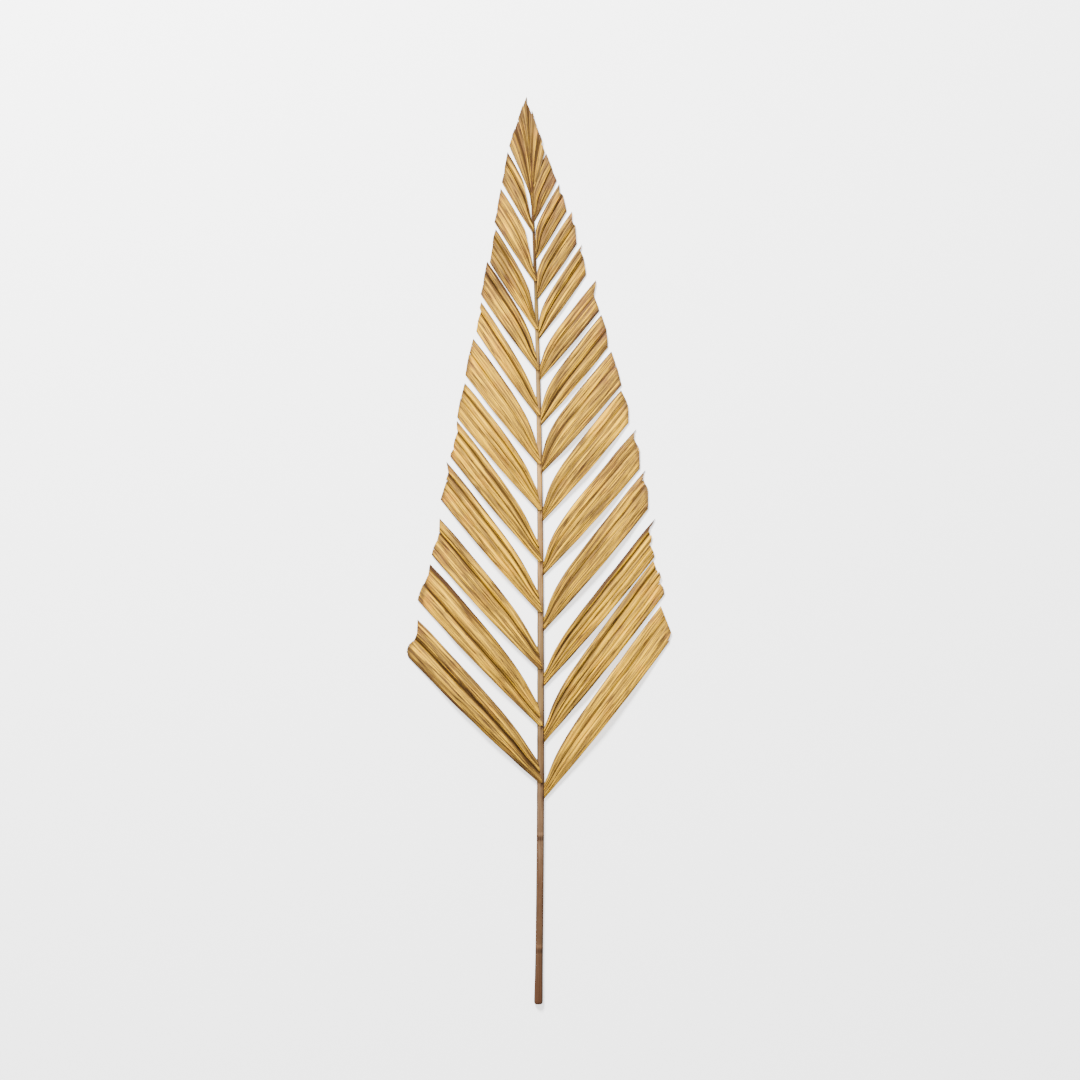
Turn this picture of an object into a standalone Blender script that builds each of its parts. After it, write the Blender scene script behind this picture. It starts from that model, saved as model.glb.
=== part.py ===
"""Dried coconut palm frond, trimmed to a kite outline, lying on its back.

Frame: metres, +Z up. The cut end of the stem points to -Y and the tip to +Y. The frond rests on
z = 0, and its origin is the middle of its footprint. While it is built, a place along the frond is
its height above the cut end, and x runs from the middle of the span.

Pieces: one stem, 12 leaflets on the left, 13 on the right, and the fan that ends the frond.
"""

import math

import bmesh
import bpy
from mathutils import Vector

MM = 0.001

# The whole frond
FROND_LENGTH = 1000 * MM

# The trimmed outline: where it starts low down, where it meets the fan, how far it bulges between
# them, and how far it flares at its foot
OUTLINE_FOOT = {"left": (141 * MM, 385 * MM), "right": (145 * MM, 406 * MM)}
OUTLINE_HEAD = {"left": (33 * MM, 947 * MM), "right": (7 * MM, 941 * MM)}
OUTLINE_BULGE = {"left": -1 * MM, "right": 17 * MM}
OUTLINE_FLARE = {"left": 4 * MM, "right": 0 * MM}
FLARE_LENGTH = 70 * MM
OUTLINE_PASSES = 40

# The stem: a flat-backed rod with a ridge on its face
STEM_LENGTH = 892 * MM
STEM_WIDTH = 7.8 * MM
STEM_TIP_WIDTH = 2.6 * MM
STEM_HEIGHT_SHARE = 0.82
STEM_MIDDLE_SHARE = 0.45
STEM_SIDES = 12
STEM_STATIONS = 24
BUTT_SWELL = 1.3 * MM
BUTT_LENGTH = 50 * MM
SWAY_HEIGHT = 300 * MM
SWAY = 2 * MM
BUTT_LEAN = 2.5 * MM
TIP_LEAN = 16 * MM

# Leaflets, counted from the cut end: the height where each one leaves the stem, the angle of its
# lower edge from the stem, and the length of its trimmed end
LEAFLETS = {
    "left": {
        "heights_mm": (246, 309, 371, 434, 490, 546, 597, 650, 700, 745, 798, 852),
        "angles_deg": (46, 44, 43, 41, 40, 41, 39, 35.5, 36, 34, 33.5, 31),
        "ends_mm": (40, 44, 40, 39, 38, 38, 40, 30, 35, 35, 36, 32),
        "bends_deg": {"lower": (3, -1), "upper": 4},
    },
    "right": {
        "heights_mm": (227, 289, 351, 412, 473, 533, 586, 639, 689, 734, 778, 822, 864),
        "angles_deg": (38.5, 39, 40.5, 40.5, 42, 41, 42, 40.5, 40.5, 36, 35, 32, 28.5),
        "ends_mm": (42, 42, 33, 36, 37, 34, 37, 32, 27, 26, 28, 26, 29),
        "bends_deg": {"lower": (4, -4), "upper": -1},
    },
}
INSERTION = 23 * MM
INSERTION_TAPER = 0.45
UPPER_START_SHARE = 0.6
SIDE_SIGN = {"left": -1, "right": 1}

# The blade of a leaflet: a pleated sheet. Each fold is (share of the width, height of the crease)
BLADE_THICKNESS = 0.6 * MM
BLADE_STATIONS = 10
JOIN_GAP = 0.5 * MM
FLOOR_GAP = 0.08 * MM
PLEATS = (
    ((0, -1), (0.27, 0.8), (0.5, -0.7), (0.8, 1), (1, -0.9)),
    ((0, -0.9), (0.36, 1), (0.62, -0.8), (0.84, 0.9), (1, -1)),
    ((0, -0.8), (0.2, 0.7), (0.42, -0.6), (0.7, 1), (1, -1)),
)
PLEAT_AT_STEM = 1.3 * MM
PLEAT_AT_END = 2.1 * MM
PLEAT_STEM_SHARE = 0.3
OPEN_FROM = 0.5
ARCH = 4.5 * MM
ARCH_POWER = 1.5
FOOT_ON_STEM = 0.5
SHORT_PLEAT_SHARE = 0.6
SHORT_ARCH_SHARE = 0.4
SHORT_BLADE = 60 * MM
LONG_BLADE = 190 * MM

# The fan that ends the frond
FAN_FOOT_WIDTH = 3 * MM
FAN_CREST_SHARE = 0.44
TIP_OFFSET = -14 * MM
FAN_FOLDS = (
    (0, -0.8), (0.16, 0.8), (0.3, -0.8), (0.44, 1), (0.6, -1), (0.72, 0.8), (0.86, -0.8), (1, 0.4),
)
FAN_STATIONS = 7
FAN_PLEAT = 1.4 * MM
FAN_FOOT_PLEAT_SHARE = 0.2
FAN_ARCH = 2 * MM

# Colours: straw gold blades, a brown stem
BLADE_COLOUR = (0.53, 0.35, 0.14, 1)
STEM_COLOUR = (0.32, 0.19, 0.11, 1)


def clear_scene():
    for obj in list(bpy.data.objects):
        bpy.data.objects.remove(obj)


def principled(name, colour, roughness):
    material = bpy.data.materials.new(name)
    material.use_nodes = True
    shader = material.node_tree.nodes["Principled BSDF"]
    shader.inputs["Base Color"].default_value = colour
    shader.inputs["Roughness"].default_value = roughness
    shader.inputs["Metallic"].default_value = 0
    return material


def mix(a, b, share):
    return a + (b - a) * share


def smooth(share):
    share = min(max(share, 0), 1)
    return share * share * (3 - 2 * share)


def stem_x(height):
    """The stem sways a little: it leans left below and above the height where it bulges right."""
    if height < SWAY_HEIGHT:
        return SWAY - BUTT_LEAN * (1 - height / SWAY_HEIGHT) ** 2
    share = (height - SWAY_HEIGHT) / (FROND_LENGTH - SWAY_HEIGHT)
    return SWAY - TIP_LEAN * share**3


def stem_width(height):
    taper = STEM_TIP_WIDTH + (STEM_WIDTH - STEM_TIP_WIDTH) * (1 - (height / STEM_LENGTH) ** 2)
    return taper + BUTT_SWELL * (1 - smooth(height / BUTT_LENGTH))


def stem_height(height):
    return STEM_HEIGHT_SHARE * stem_width(height)


def outline(side, height):
    """How far the trimmed outline is from the middle of the span, at a height."""
    low_x, low_height = OUTLINE_FOOT[side]
    high_x, high_height = OUTLINE_HEAD[side]
    share = (height - low_height) / (high_height - low_height)
    bulge = OUTLINE_BULGE[side] * 4 * share * (1 - share)
    flare = OUTLINE_FLARE[side] * (1 - smooth((height - low_height) / FLARE_LENGTH))
    return mix(low_x, high_x, share) + bulge + flare


def direction(sign, degrees):
    """A unit vector that leans from the stem's line by an angle, towards one side."""
    angle = math.radians(degrees)
    return Vector((sign * math.sin(angle), math.cos(angle)))


def bezier(start, start_angle, end, end_angle, sign):
    """A function of 0 to 1 for a curve that leaves start and reaches end at the given angles."""
    reach = (end - start).length / 3
    first = start + direction(sign, start_angle) * reach
    second = end - direction(sign, end_angle) * reach

    def point(share):
        rest = 1 - share
        return (
            start * rest**3
            + first * 3 * rest**2 * share
            + second * 3 * rest * share**2
            + end * share**3
        )

    return point


def chord_angle(start, end):
    return math.degrees(math.atan2(abs(end.x - start.x), end.y - start.y))


def reach_outline(side, start, angle):
    """Where a straight line from the stem meets the outline. Each pass halves what is left."""
    sign = SIDE_SIGN[side]
    height = start.y
    for _ in range(OUTLINE_PASSES):
        height = start.y + (outline(side, height) - sign * start.x) / math.tan(math.radians(angle))
    return Vector((sign * outline(side, height), height))


def stem_flank(side, height):
    sign = SIDE_SIGN[side]
    return Vector((stem_x(height) + sign * (stem_width(height) / 2 + JOIN_GAP), height))


def blade_edges(side, height, angle, end_length):
    """The lower and the upper edge of a leaflet, each a function of 0 at the stem to 1 at the trim."""
    sign = SIDE_SIGN[side]
    bends = LEAFLETS[side]["bends_deg"]
    insertion = INSERTION * (1 - INSERTION_TAPER * height / FROND_LENGTH)
    foot = stem_flank(side, height)
    shoulder = stem_flank(side, height + insertion)
    heel = reach_outline(side, foot, angle)
    toe_height = heel.y + end_length
    toe = Vector((sign * outline(side, toe_height), toe_height))
    start_bend, end_bend = bends["lower"]
    lower = bezier(foot, angle + start_bend, heel, angle + end_bend, sign)
    chord = chord_angle(shoulder, toe)
    upper = bezier(shoulder, UPPER_START_SHARE * chord, toe, chord + bends["upper"], sign)
    return lower, upper


def pleated_sheet(name, folds, stations, place, material):
    """A grid with a column at each fold, moved into place and given its thickness."""
    bm = bmesh.new()
    bmesh.ops.create_grid(bm, x_segments=stations, y_segments=len(folds) - 1, size=0.5)
    for vertex in bm.verts:
        share = vertex.co.x + 0.5
        column = round((vertex.co.y + 0.5) * (len(folds) - 1))
        across, crease = folds[column]
        vertex.co = place(share, across, crease)
    bmesh.ops.recalc_face_normals(bm, faces=bm.faces)
    if sum(face.normal.z for face in bm.faces) < 0:
        bmesh.ops.reverse_faces(bm, faces=bm.faces)
    mesh = bpy.data.meshes.new(name)
    bm.to_mesh(mesh)
    bm.free()
    mesh.materials.append(material)
    obj = bpy.data.objects.new(name, mesh)
    thickness = obj.modifiers.new("thickness", "SOLIDIFY")
    thickness.thickness = BLADE_THICKNESS
    thickness.offset = 0
    return obj


def make_leaflet(name, side, height, angle, end_length, folds, material):
    lower, upper = blade_edges(side, height, angle, end_length)
    length = (lower(1) - lower(0)).length
    size = smooth((length - SHORT_BLADE) / (LONG_BLADE - SHORT_BLADE))
    end_pleat = PLEAT_AT_END * mix(SHORT_PLEAT_SHARE, 1, size)
    stem_pleat = min(PLEAT_AT_STEM, PLEAT_STEM_SHARE * stem_height(height))
    start_z = FOOT_ON_STEM * stem_height(height) + FLOOR_GAP
    end_z = end_pleat + BLADE_THICKNESS / 2 + FLOOR_GAP
    arch = ARCH * mix(SHORT_ARCH_SHARE, 1, size)

    def place(share, across, crease):
        flat = lower(share).lerp(upper(share), across)
        pleat = mix(stem_pleat, end_pleat, smooth(share / OPEN_FROM))
        middle = mix(start_z, end_z, share) + arch * math.sin(math.pi * share) ** ARCH_POWER
        return Vector((flat.x, flat.y, middle + crease * pleat))

    return pleated_sheet(name, folds, BLADE_STATIONS, place, material)


def make_fan(material):
    """The last blades stay joined in one pleated fan, from the stem's end to the frond's tip."""
    foot_height = STEM_LENGTH + JOIN_GAP
    foot_left = Vector((stem_x(foot_height) - FAN_FOOT_WIDTH / 2, foot_height))
    foot_right = Vector((stem_x(foot_height) + FAN_FOOT_WIDTH / 2, foot_height))
    head_left = Vector((-OUTLINE_HEAD["left"][0], OUTLINE_HEAD["left"][1]))
    head_right = Vector(OUTLINE_HEAD["right"])
    tip = Vector((TIP_OFFSET, FROND_LENGTH))
    start_z = FOOT_ON_STEM * stem_height(STEM_LENGTH) + FLOOR_GAP
    end_z = FAN_PLEAT + BLADE_THICKNESS / 2 + FLOOR_GAP

    def trimmed_edge(across):
        if across < FAN_CREST_SHARE:
            return head_left.lerp(tip, across / FAN_CREST_SHARE)
        return tip.lerp(head_right, (across - FAN_CREST_SHARE) / (1 - FAN_CREST_SHARE))

    def place(share, across, crease):
        flat = foot_left.lerp(foot_right, across).lerp(trimmed_edge(across), share)
        pleat = mix(FAN_FOOT_PLEAT_SHARE, 1, smooth(share)) * FAN_PLEAT
        middle = mix(start_z, end_z, share) + FAN_ARCH * math.sin(math.pi * share)
        return Vector((flat.x, flat.y, middle + crease * pleat))

    return pleated_sheet("terminal_fan", FAN_FOLDS, FAN_STATIONS, place, material)


def make_stem(material):
    """A twelve-sided rod whose lowest corners are pressed down to one flat strip."""
    bm = bmesh.new()
    bmesh.ops.create_cone(
        bm, cap_ends=True, segments=STEM_SIDES, radius1=1, radius2=1, depth=1
    )
    long_edges = [e for e in bm.edges if abs(e.verts[0].co.z - e.verts[1].co.z) > 0.5]
    bmesh.ops.subdivide_edges(bm, edges=long_edges, cuts=STEM_STATIONS - 1)
    for vertex in bm.verts:
        height = (vertex.co.z + 0.5) * STEM_LENGTH
        x = stem_x(height) + vertex.co.x * stem_width(height) / 2
        z = max(0, mix(STEM_MIDDLE_SHARE, 1, vertex.co.y) * stem_height(height))
        vertex.co = (x, height, z)
    bmesh.ops.recalc_face_normals(bm, faces=bm.faces)
    mesh = bpy.data.meshes.new("stem")
    bm.to_mesh(mesh)
    bm.free()
    mesh.materials.append(material)
    mesh.shade_smooth()
    mesh.set_sharp_from_angle(angle=math.radians(40))
    return bpy.data.objects.new("stem", mesh)


def centre_on_footprint(objects):
    """Moves the meshes so that the origin is the middle of their footprint."""
    graph = bpy.context.evaluated_depsgraph_get()
    points = []
    for obj in objects:
        mesh = obj.evaluated_get(graph).to_mesh()
        points.extend(vertex.co.copy() for vertex in mesh.vertices)
    shift = Vector((0, 0, 0))
    for axis in range(2):
        values = [point[axis] for point in points]
        shift[axis] = -(min(values) + max(values)) / 2
    for obj in objects:
        for vertex in obj.data.vertices:
            vertex.co += shift


def main():
    clear_scene()
    collection = bpy.data.collections.new("dried_palm_frond")
    bpy.context.scene.collection.children.link(collection)
    straw = principled("dried_blade", BLADE_COLOUR, 0.6)
    wood = principled("dried_stem", STEM_COLOUR, 0.65)

    objects = [make_stem(wood), make_fan(straw)]
    for side, leaflets in LEAFLETS.items():
        rows = zip(leaflets["heights_mm"], leaflets["angles_deg"], leaflets["ends_mm"])
        for number, (height, angle, end_length) in enumerate(rows, start=1):
            folds = PLEATS[number % len(PLEATS)]
            name = f"leaflet_{side}_{number:02d}"
            objects.append(
                make_leaflet(name, side, height * MM, angle, end_length * MM, folds, straw)
            )
    for obj in objects:
        collection.objects.link(obj)
    bpy.context.view_layer.update()
    centre_on_footprint(objects)


main()
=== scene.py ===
"""Dried coconut palm frond, lying on its back on a pale surface: the looks.

Every leaflet starts as a flat strip with rows of vertices at its creases. It is pleated, gathered
at the stem, cut at both ends with straight cuts, and given its thickness. The corners that the
strips run between are read from the frame. Units are metres.
"""

import math
import random

import bmesh
import bpy
import numpy as np
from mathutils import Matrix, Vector


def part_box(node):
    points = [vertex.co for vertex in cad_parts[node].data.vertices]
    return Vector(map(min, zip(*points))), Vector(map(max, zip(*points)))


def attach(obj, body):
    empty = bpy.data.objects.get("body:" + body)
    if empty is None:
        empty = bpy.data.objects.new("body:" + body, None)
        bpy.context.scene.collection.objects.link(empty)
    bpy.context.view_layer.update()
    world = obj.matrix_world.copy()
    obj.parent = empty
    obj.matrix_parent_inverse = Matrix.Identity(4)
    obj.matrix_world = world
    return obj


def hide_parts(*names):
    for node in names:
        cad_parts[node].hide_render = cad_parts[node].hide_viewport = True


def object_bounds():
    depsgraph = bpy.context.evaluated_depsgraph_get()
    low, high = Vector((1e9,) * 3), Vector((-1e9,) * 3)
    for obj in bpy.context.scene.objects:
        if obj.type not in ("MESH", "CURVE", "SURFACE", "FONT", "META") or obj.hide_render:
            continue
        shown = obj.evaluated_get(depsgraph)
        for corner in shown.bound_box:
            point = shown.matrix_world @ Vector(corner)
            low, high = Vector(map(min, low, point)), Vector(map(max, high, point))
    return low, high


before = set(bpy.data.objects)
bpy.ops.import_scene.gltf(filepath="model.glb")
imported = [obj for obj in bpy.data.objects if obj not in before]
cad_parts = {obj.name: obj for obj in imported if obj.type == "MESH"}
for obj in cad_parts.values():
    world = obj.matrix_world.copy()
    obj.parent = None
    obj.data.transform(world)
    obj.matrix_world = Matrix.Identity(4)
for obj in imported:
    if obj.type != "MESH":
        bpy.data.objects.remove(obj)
cad_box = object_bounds()

MM = 0.001

# The camera looks straight down, on a place a little past the frond's middle
VIEW_WIDTH = 1192 * MM
VIEW_OFFSET = Vector((1.1 * MM, 11 * MM, 0))
LENS_MM = 100
SENSOR_MM = 36
VIEW_DEPTH = 20

# The pleated strip that every leaflet is cut from
STATIONS = 12
FINE_LEVELS = 3
STRIP_START = -10 * MM
STRIP_MARGIN = 13 * MM
BLADE_THICKNESS = 0.45 * MM
FLOOR_GAP = 0.1 * MM
SMOOTH_ANGLE = math.radians(50)
SHARPEST_CREASE = 0.9
SAME_ROW = 0.05 * MM
# How much wider and longer a blade is than its corners in the frame
EDGE_GAIN = 0.35 * MM

# Depth of the pleats where the blade is gathered at the stem and where it is open, and how much of
# that a short blade and one on the right keeps
GATHERED_DEPTH = 1.1 * MM
OPEN_DEPTH = 2.8 * MM
SHORT_DEPTH = 0.65
RIGHT_DEPTH = 0.6
FULL_LENGTH = 190 * MM
# Shares of the length: the gathered part with painted shade, and how soon the blade opens to its full
# width
GATHERED_SHARE = 0.5
OPENING = {"left": 0.25, "right": 0.18}
# A right leaflet's neck as a share of the one in the frame
RIGHT_NECK = 0.5
# How far a left leaflet's foot lies above the stem, and a right one's place on its flank
FOOT_ABOVE = 0.3 * MM
FOOT_ON_FLANK = 0.5
# How high a full-length blade arches between its ends, and how far its middle sags sideways, as a
# share of its length
ARCH = 4.5 * MM
ARCH_POWER = 1.5
SAG = 0.012

# Where the foot is cut off beside the stem: share of the stem's width from its middle, and the
# direction that the cut faces
LEFT_BASE = 0.2
LEFT_BASE_NORMAL = (1, 0.22, 0)
LEFT_UNDER = 0.35
LEFT_UNDER_NORMAL = (0.2, -1, 0)
RIGHT_BASE = 0.3
RIGHT_BASE_NORMAL = (-1, 0, 0)

# Steps between the maps of two strips, in metres, and the numbers of the right ones and the fan
SEED_STEP = (1.7, 0.31)
RIGHT_SEED = 20
FAN_SEED = 50

# Fine ridges along the blade: their size, how far they are drawn out, and their height
RIDGE_SIZE = 1.7 * MM
RIDGE_STRETCH = 0.03
RIDGE_HEIGHT = 0.8 * MM
# Waves of the whole blade and of its edges: name, size, direction and height
WAVES = (("waves", 50 * MM, "Z", 1.0 * MM), ("edge_waves", 25 * MM, "Y", 0.7 * MM))
# The outermost bands of a cut reach past the edge by this share of the width
PAST_EDGE = 0.1
CUT_FRAY = 0.12 * MM
CUT_DEPTH = 7 * MM
# How fast the marks of the cut end and of the darker edge band fade, in metres and in shares of the width
TRIM_FADE = 7 * MM
EDGE_BAND_FADE = 0.03

# Creases of a strip from its lower edge to its upper one: share of the width, height as a share of
# the pleat's depth, and how dark and sharp the crease is
CREASES = {
    "low": (
        (0, -0.7, 0), (0.1, -0.1, 0), (0.19, 0.3, 0.35), (0.28, 0.75, 0), (0.36, 0.3, 0), (0.44, -1, 1),
        (0.53, 0.1, 0), (0.61, 0.5, 0.4), (0.71, 0.9, 0), (0.8, 0.2, 0.6), (0.9, 0.3, 0), (1, -0.7, 0),
    ),
    "middle": (
        (0, -0.8, 0), (0.08, -0.2, 0), (0.17, 0.1, 0.5), (0.27, 0.6, 0), (0.37, 0.2, 0.35), (0.46, 0.5, 0),
        (0.55, -1, 1), (0.64, 0.2, 0), (0.72, 0.7, 0), (0.81, 0.3, 0.5), (0.9, 0.5, 0), (1, -0.7, 0),
    ),
    "high": (
        (0, -0.6, 0), (0.1, 0.2, 0), (0.2, -0.1, 0.45), (0.3, 0.5, 0), (0.4, 0.3, 0.3), (0.5, 0.8, 0),
        (0.59, 0.2, 0), (0.67, -1, 1), (0.76, 0.1, 0), (0.84, 0.7, 0), (0.92, 0.1, 0.5), (1, -0.8, 0),
    ),
    "many": (
        (0, -0.6, 0), (0.07, 0.2, 0.3), (0.15, -0.2, 0.55), (0.26, 0.5, 0), (0.33, -0.3, 0.6),
        (0.45, 0.6, 0), (0.52, -0.3, 0.8), (0.64, 0.4, 0), (0.76, -0.7, 0.95), (0.85, 0.5, 0),
        (0.92, -0.1, 0.5), (1, -0.6, 0),
    ),
    "flat": (
        (0, -0.5, 0), (0.1, 0.1, 0), (0.2, -0.1, 0.5), (0.3, 0.4, 0), (0.4, 0, 0.4), (0.5, 0.4, 0),
        (0.6, -0.4, 0.75), (0.7, 0.3, 0), (0.79, 0, 0.45), (0.88, 0.3, 0), (1, -0.6, 0),
    ),
}

# Outlines of the trimmed ends from the lower edge to the upper one: share of the width, and how far
# the blade stands past the straight line between its corners, in millimetres
CUTS = {
    "plain": ((0, 0), (0.3, 0.5), (0.52, 0.5), (0.56, 0), (0.8, -0.5), (1, -1.2)),
    "upright": ((0, -0.2), (0.31, -1), (0.44, -0.2), (1, -0.1)),
    "hollow": ((0, -1.6), (0.5, 0.9), (0.56, 1.1), (0.76, -1.9), (1, 1.4)),
    "hooked": ((0, -3), (0.09, -2.4), (0.5, 3.1), (0.54, 3.3), (0.62, 1.6), (0.76, 1.3), (1, 4.9)),
    "pointed": ((0, -4.2), (0.05, -3.6), (0.54, -0.3), (0.9, -1.3), (1, 2.9)),
    "cleft": ((0, -1.8), (0.06, -1.2), (0.6, -2.3), (0.66, -1.6), (0.88, 4.2), (1, 6)),
    "rounded": ((0, -3), (0.1, -1.4), (0.4, 1.8), (0.6, 1.2), (1, -2)),
    "eased": ((0, -4), (0.06, -3.2), (0.5, 0.7), (0.55, 0.4), (1, -0.4)),
    "tipped": (
        (0, -2.2), (0.05, -1.5), (0.45, 3), (0.55, 2.6), (0.7, 0.6), (0.84, -0.6), (0.9, 0.2),
        (0.95, 1.8), (1, 4.6),
    ),
    "spined": (
        (0, -6), (0.12, -5.8), (0.45, -9), (0.48, -8.8), (0.5, -6.4), (0.65, -4.1), (0.7, -6.2),
        (0.86, -7.2), (0.91, -4.8), (0.95, 0.6), (1, 4.6),
    ),
    "split": (
        (0, -0.8), (0.14, -0.1), (0.35, -4.6), (0.39, -4.2), (0.43, -1.5), (0.6, -2.2), (0.63, -4.5),
        (0.73, -6.2), (1, -8.5),
    ),
    "oblique": ((0, -3), (0.05, -2.4), (0.12, 1.6), (1, -8.2)),
    "bitten": ((0, -4.8), (0.13, -4.6), (0.5, -4.1), (0.55, -3.2), (0.71, -2.7), (1, -4)),
    "nicked": ((0, -4), (0.14, -3.9), (0.35, -3.4), (0.74, -5.2), (0.77, -2.2), (1, -2.9)),
    "ragged": (
        (0, -1), (0.07, -0.8), (0.27, -3.6), (0.31, -2.4), (0.47, -2.3), (0.78, -4.3), (0.82, -2.6),
        (1, -0.1),
    ),
    "sloped": ((0, 0.8), (0.23, -0.2), (0.55, -2.1), (0.58, -1.2), (0.81, -2.4), (0.9, 0.4), (1, 3.1)),
    "stepped": ((0, -1.7), (0.16, -2), (0.4, -4.4), (0.43, -5.2), (0.67, -5.7), (1, -2.6)),
    "notched": ((0, 4.6), (0.13, 4.4), (0.44, 1.8), (0.46, 0.6), (0.74, -2.4), (1, -1.6)),
    "bulging": (
        (0, -1.6), (0.06, 1.2), (0.12, 1.8), (0.26, 1.4), (0.46, -3.2), (0.5, -4.2), (0.68, -5.4),
        (1, -1.8),
    ),
}

# How each leaflet differs, counted from the cut end: its creases, its trimmed end, how brown it is
# from 0 to 1, and the share of its width that is darker along its upper edge (below 0: its lower one)
NATURES = {
    "left": (
        ("middle", "bulging", 0.56, -0.09), ("low", "notched", 0.2, 0.14), ("high", "stepped", 0.37, 0.03),
        ("many", "sloped", 0.0, 0.05), ("many", "ragged", 0.1, 0.02), ("many", "plain", 0.0, 0.02),
        ("flat", "plain", 0.08, 0.05), ("high", "nicked", 0.14, 0.03), ("high", "upright", 0.49, 0.1),
        ("many", "bitten", 0.43, 0.02), ("flat", "upright", 0.38, 0.02), ("high", "upright", 0.72, 0.02),
    ),
    "right": (
        ("flat", "oblique", 0.05, 0.02), ("many", "split", 0.14, 0.02), ("many", "spined", 0.08, 0.14),
        ("flat", "tipped", 0.32, 0.02), ("flat", "tipped", 0.25, 0.03), ("flat", "rounded", 0.13, 0.02),
        ("flat", "plain", 0.3, 0.02), ("low", "eased", 0.44, 0.04), ("flat", "cleft", 0.38, -0.1),
        ("middle", "pointed", 0.45, 0.02), ("middle", "hooked", 0.6, 0.02),
        ("middle", "hollow", 0.72, 0.02), ("low", "upright", 0.7, 0.02),
    ),
}


# ---------------------------------------------------------------- selecting and editing

def deselect_all():
    for obj in list(bpy.context.selected_objects):
        obj.select_set(False)


def choose(obj):
    """Selects this object alone and makes it the active one."""
    deselect_all()
    obj.select_set(True)
    bpy.context.view_layer.objects.active = obj


def start_edit(obj):
    choose(obj)
    bpy.ops.object.mode_set(mode="EDIT")


def end_edit():
    bpy.ops.object.mode_set(mode="OBJECT")


def pick_vertices(obj, test):
    """Selects the vertices whose place passes the test, and the edges between them."""
    bpy.ops.mesh.select_mode(type="VERT")
    shape = bmesh.from_edit_mesh(obj.data)
    for vertex in shape.verts:
        vertex.select = test(vertex.co)
    shape.select_flush_mode()
    bmesh.update_edit_mesh(obj.data)


def pick_faces(obj, test):
    """Selects the faces that pass the test."""
    bpy.ops.mesh.select_mode(type="FACE")
    shape = bmesh.from_edit_mesh(obj.data)
    for face in shape.faces:
        face.select = test(face)
    shape.select_flush_mode()
    bmesh.update_edit_mesh(obj.data)


def apply_modifier(obj, kind, **settings):
    choose(obj)
    modifier = obj.modifiers.new(kind.lower(), kind)
    for key, value in settings.items():
        setattr(modifier, key, value)
    bpy.ops.object.modifier_apply(modifier=modifier.name)


def turn_to(obj, foot, direction):
    """Lays a piece modelled along X at its foot, turned to its direction, and applies its place."""
    obj.rotation_euler.z = math.atan2(direction.y, direction.x)
    obj.location = foot
    choose(obj)
    bpy.ops.object.transform_apply(location=True, rotation=True, scale=True)


def smooth(share):
    share = min(max(share, 0), 1)
    return share * share * (3 - 2 * share)


def mix(a, b, share):
    return a + (b - a) * share


def soft_texture(name, size, depth=0):
    texture = bpy.data.textures.new(name, "CLOUDS")
    texture.noise_scale = size
    texture.noise_depth = depth
    return texture


# ---------------------------------------------------------------- the camera

def make_camera():
    low, high = (Vector(corner) for corner in cad_box)
    middle = (low + high) / 2 + VIEW_OFFSET
    data = bpy.data.cameras.new("overhead")
    data.lens = LENS_MM
    data.sensor_width = SENSOR_MM
    data.clip_end = VIEW_DEPTH
    camera = bpy.data.objects.new("overhead", data)
    camera.location = (middle.x, middle.y, VIEW_WIDTH * LENS_MM / SENSOR_MM)
    bpy.context.scene.collection.objects.link(camera)
    bpy.context.scene.camera = camera


make_camera()


# ---------------------------------------------------------------- node helpers

def new_group(name, inputs, outputs):
    """A shader node group with a vector input, and the named numbers that it reads and gives."""
    group = bpy.data.node_groups.new(name, "ShaderNodeTree")
    group.interface.new_socket("Vector", in_out="INPUT", socket_type="NodeSocketVector")
    for in_out, names in (("INPUT", inputs), ("OUTPUT", outputs)):
        for socket_name in names:
            group.interface.new_socket(socket_name, in_out=in_out, socket_type="NodeSocketFloat")
    start = group.nodes.new("NodeGroupInput")
    end = group.nodes.new("NodeGroupOutput")
    return group, start, end


class Tree:
    """Short calls that add a node, set it up and link what it reads."""

    def __init__(self, tree):
        self.tree = tree

    def add(self, kind, settings=None, **inputs):
        node = self.tree.nodes.new(kind)
        for key, value in (settings or {}).items():
            setattr(node, key, value)
        for key, value in inputs.items():
            self.feed(node.inputs[key.replace("_", " ")], value)
        return node

    def feed(self, socket, value):
        if isinstance(value, bpy.types.NodeSocket):
            self.tree.links.new(value, socket)
        else:
            socket.default_value = value

    def math(self, operation, *values, clamp=False):
        node = self.add("ShaderNodeMath", {"operation": operation, "use_clamp": clamp})
        for socket, value in zip(node.inputs, values):
            self.feed(socket, value)
        return node.outputs[0]

    def blend(self, share, first, second, kind="MIX"):
        node = self.add("ShaderNodeMix", {"data_type": "RGBA", "blend_type": kind})
        self.feed(node.inputs[0], share)
        self.feed(node.inputs[6], first)
        self.feed(node.inputs[7], second)
        return node.outputs[2]

    def range(self, value, low, high, to_low=0.0, to_high=1.0, smoothly=False):
        kind = "SMOOTHSTEP" if smoothly else "LINEAR"
        node = self.add("ShaderNodeMapRange", {"interpolation_type": kind})
        for socket, number in zip(node.inputs, (value, low, high, to_low, to_high)):
            self.feed(socket, number)
        return node.outputs[0]

    def attribute(self, name):
        return self.add("ShaderNodeAttribute", {"attribute_name": name}).outputs["Fac"]


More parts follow.
